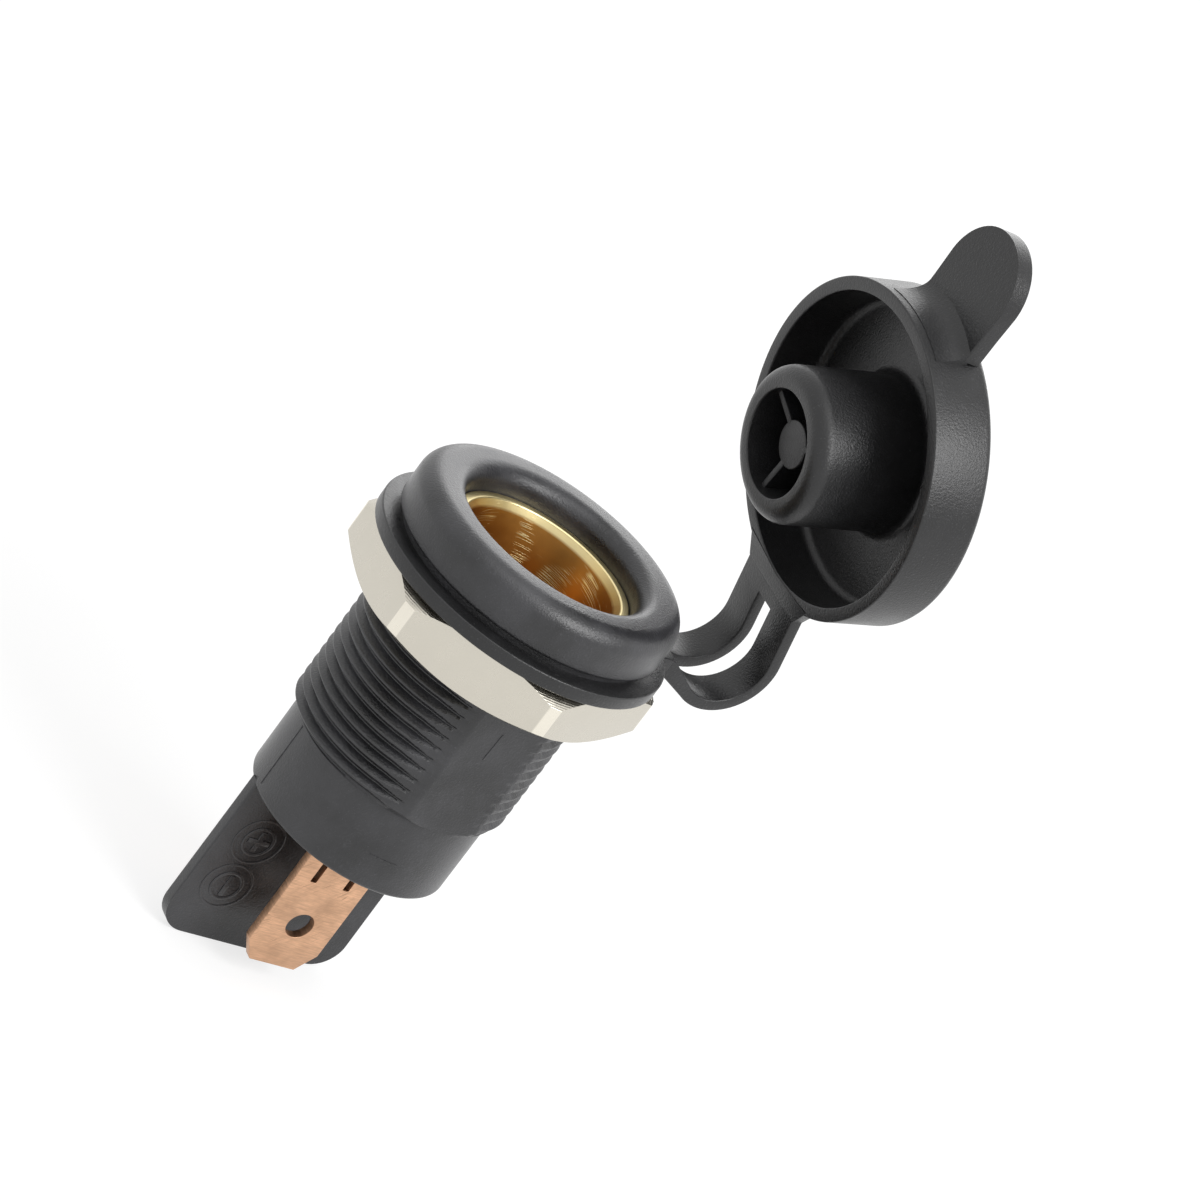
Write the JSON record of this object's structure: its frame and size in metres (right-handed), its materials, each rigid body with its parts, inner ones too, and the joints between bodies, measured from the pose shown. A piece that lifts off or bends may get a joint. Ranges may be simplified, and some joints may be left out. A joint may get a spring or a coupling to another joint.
{
  "type": "panel power socket",
  "caption": "Round twelve-volt panel power socket with a threaded barrel, hexagon panel nut, blade terminals beside a divider plate, and a tethered push-in sealing cap shown open.",
  "frame": {"origin": "on the socket's axis in the plane of the tether ring's underside, where the panel's face lies", "axes": "+Z along the socket's axis, out of the mouth; +X along the tether; the barrel's flats face +Y and -Y"},
  "size_m": [0.0358, 0.0248, 0.0761],
  "materials": {
    "moulded_body": "satin moulded black",
    "brass": "drawn, with fine scratches",
    "copper": "brushed copper",
    "nickel_plate": "satin nickel plate",
    "soft_cap": "fine-grained soft plastic"
  },
  "bodies": {
    "socket": {"socket_body": "moulded_body", "contact_sleeve": "brass", "centre_contact": "brass", "centre_terminal": "copper", "sleeve_terminal": "copper", "tether_ring": "soft_cap", "tether_straps": "soft_cap"},
    "nut": {"panel_nut": "nickel_plate"},
    "cap": {"sealing_cap": "soft_cap"}
  },
  "joints": [
    {"name": "cap_swing", "type": "hinge", "parent": "socket", "child": "cap", "pos_m": [0.01966, 0, 0.0002], "axis": [0, 1, 0], "range_deg": [-75.75, 45], "stiffness_Nm_per_rad": 0.02, "deforming": ["tether_straps"]},
    {"name": "nut_travel", "type": "slide", "parent": "socket", "child": "nut", "axis": [0, 0, -1], "range_m": [0, 0.0115]}
  ]
}
